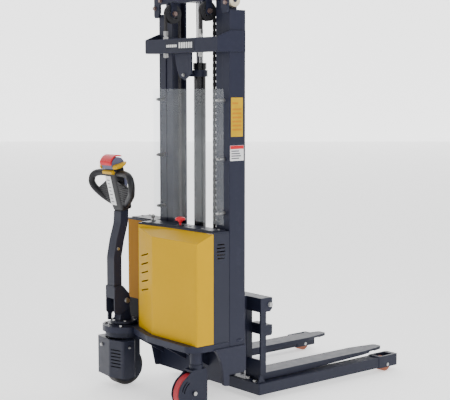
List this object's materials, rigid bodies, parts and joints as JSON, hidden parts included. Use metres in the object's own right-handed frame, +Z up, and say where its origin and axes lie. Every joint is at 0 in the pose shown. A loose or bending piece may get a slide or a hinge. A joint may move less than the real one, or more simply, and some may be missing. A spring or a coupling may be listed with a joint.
{
  "type": "walkie stacker",
  "caption": "Pedestrian pallet stacker: two-stage mast, fixed forks over straddle legs, yellow rear cover, side tiller with drive wheel and a caster.",
  "frame": {"origin": "centre of the outline on the floor plane, under the box of the whole truck", "axes": "+X to the truck's right as seen from the operator, +Y towards the fork tips, +Z up"},
  "size_m": [0.948, 1.5142, 2.08],
  "materials": {
    "mast_paint": "satin powder coat",
    "cover_yellow": "semi-gloss",
    "cover_dark": "satin",
    "cylinder_black": "gloss",
    "rod_chrome": "polished",
    "zinc": "zinc plated",
    "chain_steel": "oiled",
    "sheave_steel": "machined",
    "roller_nylon": "satin",
    "clear_sheet": "clear polycarbonate",
    "tread_red": "polyurethane",
    "tread_tan": "polyurethane",
    "tread_dark": "polyurethane",
    "cast": "painted",
    "motor_black": "satin",
    "caster_paint": "satin powder coat",
    "tiller_paint": "satin",
    "black_plastic": "moulded",
    "grey_plastic": "moulded",
    "red_plastic": "moulded",
    "yellow_plastic": "moulded",
    "alu": "extruded"
  },
  "bodies": {
    "chassis": {"outer_mast": "mast_paint", "mast_crossbar": "mast_paint", "frame_fasteners": "zinc", "chain_anchors_rear": "zinc", "chain_strands_rear": "chain_steel", "cylinder_barrel": "cylinder_black", "cylinder_strap": "mast_paint", "guard_panel": "clear_sheet", "chassis_frame": "mast_paint", "base_frame": "mast_paint", "load_wheel_axles": "zinc", "rear_cover": "cover_yellow", "top_cover": "cover_dark", "side_panel_right": "cover_dark", "side_panel_left": "cover_dark", "cover_screws": "zinc", "switch_bodies": "black_plastic", "batteries": "black_plastic", "pump_motor": "motor_black", "hydraulic_pump": "cast", "hydraulic_tank": "black_plastic", "controller": "alu"},
    "inner_mast": {"inner_mast": "mast_paint", "cylinder_rod": "rod_chrome", "mast_head_pins": "zinc", "chain_wraps": "chain_steel", "chain_strands_front": "chain_steel"},
    "rollers_inner": {"inner_rollers": "roller_nylon"},
    "rollers_top": {"top_rollers": "roller_nylon"},
    "sheaves": {"chain_sheaves": "sheave_steel"},
    "carriage": {"fork_carriage": "mast_paint", "carriage_fasteners": "zinc", "fork_right": "mast_paint", "fork_left": "mast_paint"},
    "rollers_carriage_upper": {"carriage_rollers_upper": "roller_nylon"},
    "rollers_carriage_lower": {"carriage_rollers_lower": "roller_nylon"},
    "drive_unit": {"turntable": "mast_paint", "gearbox": "cast", "drive_motor": "motor_black", "drive_cover": "cover_dark", "drive_fasteners": "zinc", "tiller_foot": "mast_paint"},
    "drive_wheel": {"drive_wheel": "cast", "drive_tyre": "tread_dark"},
    "tiller": {"tiller_arm": "tiller_paint", "tiller_bolts": "zinc", "tiller_head": "black_plastic", "head_core": "grey_plastic"},
    "reverse_button": {"reverse_button": "red_plastic"},
    "throttle": {"throttle": "yellow_plastic"},
    "lift_rocker": {"lift_rocker": "yellow_plastic"},
    "lower_lever": {"lower_lever": "grey_plastic"},
    "estop_button": {"estop_button": "red_plastic"},
    "key": {"key": "zinc"},
    "caster": {"caster_fork": "caster_paint"},
    "caster_wheel": {"caster_wheel": "cast", "caster_tyre": "tread_red"},
    "load_wheel_left": {"load_wheel_left": "tread_tan"},
    "load_wheel_right": {"load_wheel_right": "tread_tan"}
  },
  "joints": [
    {"name": "mast_lift", "type": "slide", "parent": "chassis", "child": "inner_mast", "axis": [0, 0, 1], "range_m": [0, 1.35], "deforming": ["chain_strands_rear"]},
    {"name": "carriage_lift", "type": "slide", "parent": "inner_mast", "child": "carriage", "axis": [0, 0, 1], "range_m": [0, 1.35], "deforming": ["chain_strands_front"]},
    {"name": "sheave_spin", "type": "hinge", "parent": "inner_mast", "child": "sheaves", "pos_m": [0.1455, -0.47988, 1.973], "axis": [-1, 0, 0], "continuous": true},
    {"name": "inner_roller_spin", "type": "hinge", "parent": "inner_mast", "child": "rollers_inner", "pos_m": [0.1455, -0.40788, 0.235], "axis": [1, 0, 0], "continuous": true},
    {"name": "top_roller_spin", "type": "hinge", "parent": "inner_mast", "child": "rollers_top", "pos_m": [0.1455, -0.39988, 2.026], "axis": [1, 0, 0], "continuous": true},
    {"name": "carriage_roller_upper_spin", "type": "hinge", "parent": "carriage", "child": "rollers_carriage_upper", "pos_m": [0.1455, -0.40788, 0.475], "axis": [1, 0, 0], "continuous": true},
    {"name": "carriage_roller_lower_spin", "type": "hinge", "parent": "carriage", "child": "rollers_carriage_lower", "pos_m": [0.1455, -0.40788, 0.215], "axis": [1, 0, 0], "continuous": true},
    {"name": "steer", "type": "hinge", "parent": "chassis", "child": "drive_unit", "pos_m": [-0.26949, -0.61288, 0], "axis": [0, 0, -1], "range_deg": [-45, 90]},
    {"name": "drive_wheel_spin", "type": "hinge", "parent": "drive_unit", "child": "drive_wheel", "pos_m": [-0.26949, -0.61288, 0.1], "axis": [1, 0, 0], "continuous": true},
    {"name": "tiller_tilt", "type": "hinge", "parent": "drive_unit", "child": "tiller", "pos_m": [-0.26949, -0.62088, 0.463], "axis": [1, 0, 0], "range_deg": [0, 75], "stiffness_Nm_per_rad": 45, "springref_deg": -22.92},
    {"name": "reverse_press", "type": "slide", "parent": "tiller", "child": "reverse_button", "axis": [0, 0.2419, -0.9703], "range_m": [0, 0.0035], "stiffness_N_per_m": 3000, "springref_m": -0.002},
    {"name": "throttle_turn", "type": "hinge", "parent": "tiller", "child": "throttle", "pos_m": [-0.26949, -0.67317, 1.1907], "axis": [1, 0, 0], "range_deg": [-20, 20], "stiffness_Nm_per_rad": 1.5},
    {"name": "lift_rock", "type": "hinge", "parent": "tiller", "child": "lift_rocker", "pos_m": [-0.26949, -0.69381, 1.15361], "axis": [1, 0, 0], "range_deg": [-8, 8], "stiffness_Nm_per_rad": 0.8},
    {"name": "lower_pull", "type": "hinge", "parent": "tiller", "child": "lower_lever", "pos_m": [-0.21449, -0.63804, 1.14072], "axis": [1, 0, 0], "range_deg": [0, 15], "stiffness_Nm_per_rad": 0.6, "springref_deg": -8.59},
    {"name": "estop_press", "type": "slide", "parent": "chassis", "child": "estop_button", "axis": [0, 0, -1], "range_m": [0, 0.0055], "stiffness_N_per_m": 2500, "springref_m": -0.002},
    {"name": "key_turn", "type": "hinge", "parent": "chassis", "child": "key", "pos_m": [-0.11249, -0.52788, 0], "axis": [0, 0, -1], "range_deg": [0, 90]},
    {"name": "caster_swivel", "type": "hinge", "parent": "chassis", "child": "caster", "pos_m": [0.3755, -0.62588, 0], "axis": [0, 0, 1], "continuous": true},
    {"name": "caster_roll", "type": "hinge", "parent": "caster", "child": "caster_wheel", "pos_m": [0.3755, -0.66088, 0.095], "axis": [1, 0, 0], "continuous": true},
    {"name": "load_roll_left", "type": "hinge", "parent": "chassis", "child": "load_wheel_left", "pos_m": [-0.24049, 0.67712, 0.04], "axis": [1, 0, 0], "continuous": true},
    {"name": "load_roll_right", "type": "hinge", "parent": "chassis", "child": "load_wheel_right", "pos_m": [0.42951, 0.67712, 0.04], "axis": [1, 0, 0], "continuous": true}
  ],
  "couplings": [
    {"joint": "carriage_lift", "follows": "mast_lift", "ratio": 1},
    {"joint": "sheave_spin", "follows": "mast_lift", "rad_per_m": 22.727},
    {"joint": "inner_roller_spin", "follows": "mast_lift", "rad_per_m": -25.974},
    {"joint": "carriage_roller_upper_spin", "follows": "mast_lift", "rad_per_m": -27.397},
    {"joint": "carriage_roller_lower_spin", "follows": "mast_lift", "rad_per_m": -27.397}
  ]
}
